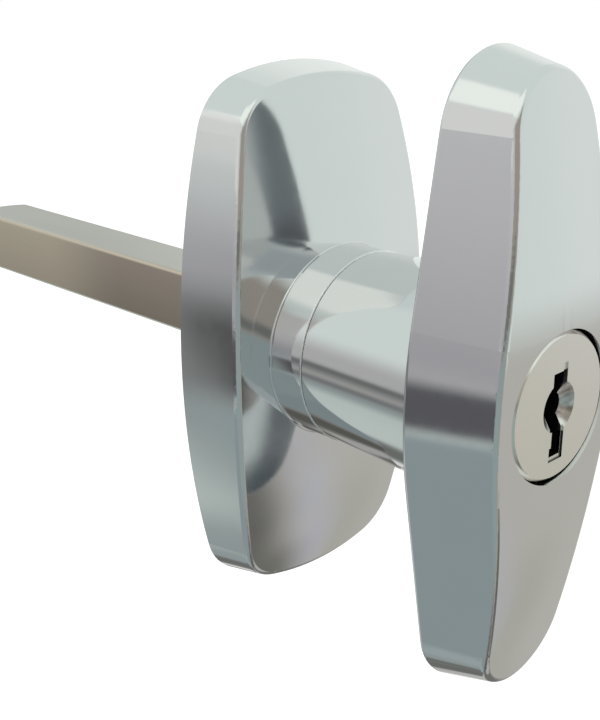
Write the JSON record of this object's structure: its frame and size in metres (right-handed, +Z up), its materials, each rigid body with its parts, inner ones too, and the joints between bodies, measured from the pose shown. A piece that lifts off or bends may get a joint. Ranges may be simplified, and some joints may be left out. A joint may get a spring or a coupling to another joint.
{
  "type": "t-handle lock",
  "caption": "Chromed T-handle with a keyed lock in its grip, an oval escutcheon plate and a square spindle that turns a cam or latch behind a panel.",
  "frame": {"origin": "on the turning axis, in the mounting face at the back of the plate", "axes": "+Y along the spindle, away from the user; +Z up along the grip; +X to the user's right"},
  "size_m": [0.034, 0.1017, 0.0696],
  "materials": {
    "chrome": "polished chrome plate",
    "spindle_steel": "satin drawn steel",
    "face_nickel": "satin nickel",
    "plug_metal": "nickel plate",
    "steel": "zinc-plated",
    "spring_steel": "oiled spring steel",
    "brass": "machined",
    "wafer_brass": "stamped",
    "acetal": "moulded",
    "seal_rubber": "soft matt"
  },
  "bodies": {
    "escutcheon": {"plate": "chrome", "perimeter_seal": "seal_rubber", "collar": "chrome", "stop_pin": "steel", "wear_washer": "acetal"},
    "handle": {"t_grip": "chrome", "neck_ring_seal": "seal_rubber", "square_spindle": "spindle_steel", "spindle_pin": "steel", "circlip": "spring_steel", "spring_washer": "spring_steel", "lock_barrel": "brass", "barrel_screw": "steel"},
    "key_plug": {"plug": "plug_metal", "plug_face": "face_nickel", "plug_clip": "spring_steel", "bolt_cam": "steel", "cam_screw": "steel", "wafer_spring_1": "spring_steel", "wafer_spring_2": "spring_steel", "wafer_spring_3": "spring_steel", "wafer_spring_4": "spring_steel", "wafer_spring_5": "spring_steel"},
    "bolt": {"lock_bolt": "steel", "bolt_peg": "steel"},
    "tumbler_1": {"wafer_1": "wafer_brass"},
    "tumbler_2": {"wafer_2": "wafer_brass"},
    "tumbler_3": {"wafer_3": "wafer_brass"},
    "tumbler_4": {"wafer_4": "wafer_brass"},
    "tumbler_5": {"wafer_5": "wafer_brass"}
  },
  "joints": [
    {"name": "handle_turn", "type": "hinge", "parent": "escutcheon", "child": "handle", "pos_m": [0, 0, 0], "axis": [0, 1, 0], "range_deg": [0, 90]},
    {"name": "key_turn", "type": "hinge", "parent": "handle", "child": "key_plug", "pos_m": [0, 0, 0], "axis": [0, 1, 0], "range_deg": [0, 90]},
    {"name": "bolt_slide", "type": "slide", "parent": "handle", "child": "bolt", "axis": [0, 0, 1], "range_m": [0, 0.0018]},
    {"name": "wafer_1_slide", "type": "slide", "parent": "key_plug", "child": "tumbler_1", "axis": [0, 0, 1], "range_m": [0, 0.00075], "stiffness_N_per_m": 40, "springref_m": 0.0015, "deforming": ["wafer_spring_1"]},
    {"name": "wafer_2_slide", "type": "slide", "parent": "key_plug", "child": "tumbler_2", "axis": [0, 0, -1], "range_m": [0, 0.00075], "stiffness_N_per_m": 40, "springref_m": 0.0015, "deforming": ["wafer_spring_2"]},
    {"name": "wafer_3_slide", "type": "slide", "parent": "key_plug", "child": "tumbler_3", "axis": [0, 0, 1], "range_m": [0, 0.00075], "stiffness_N_per_m": 40, "springref_m": 0.0015, "deforming": ["wafer_spring_3"]},
    {"name": "wafer_4_slide", "type": "slide", "parent": "key_plug", "child": "tumbler_4", "axis": [0, 0, -1], "range_m": [0, 0.00075], "stiffness_N_per_m": 40, "springref_m": 0.0015, "deforming": ["wafer_spring_4"]},
    {"name": "wafer_5_slide", "type": "slide", "parent": "key_plug", "child": "tumbler_5", "axis": [0, 0, 1], "range_m": [0, 0.00075], "stiffness_N_per_m": 40, "springref_m": 0.0015, "deforming": ["wafer_spring_5"]}
  ],
  "couplings": [
    {"joint": "bolt_slide", "follows": "key_turn", "m_per_rad": 0.0011459},
    {"joint": "wafer_2_slide", "follows": "wafer_1_slide", "ratio": 1},
    {"joint": "wafer_3_slide", "follows": "wafer_1_slide", "ratio": 1},
    {"joint": "wafer_4_slide", "follows": "wafer_1_slide", "ratio": 1},
    {"joint": "wafer_5_slide", "follows": "wafer_1_slide", "ratio": 1}
  ]
}
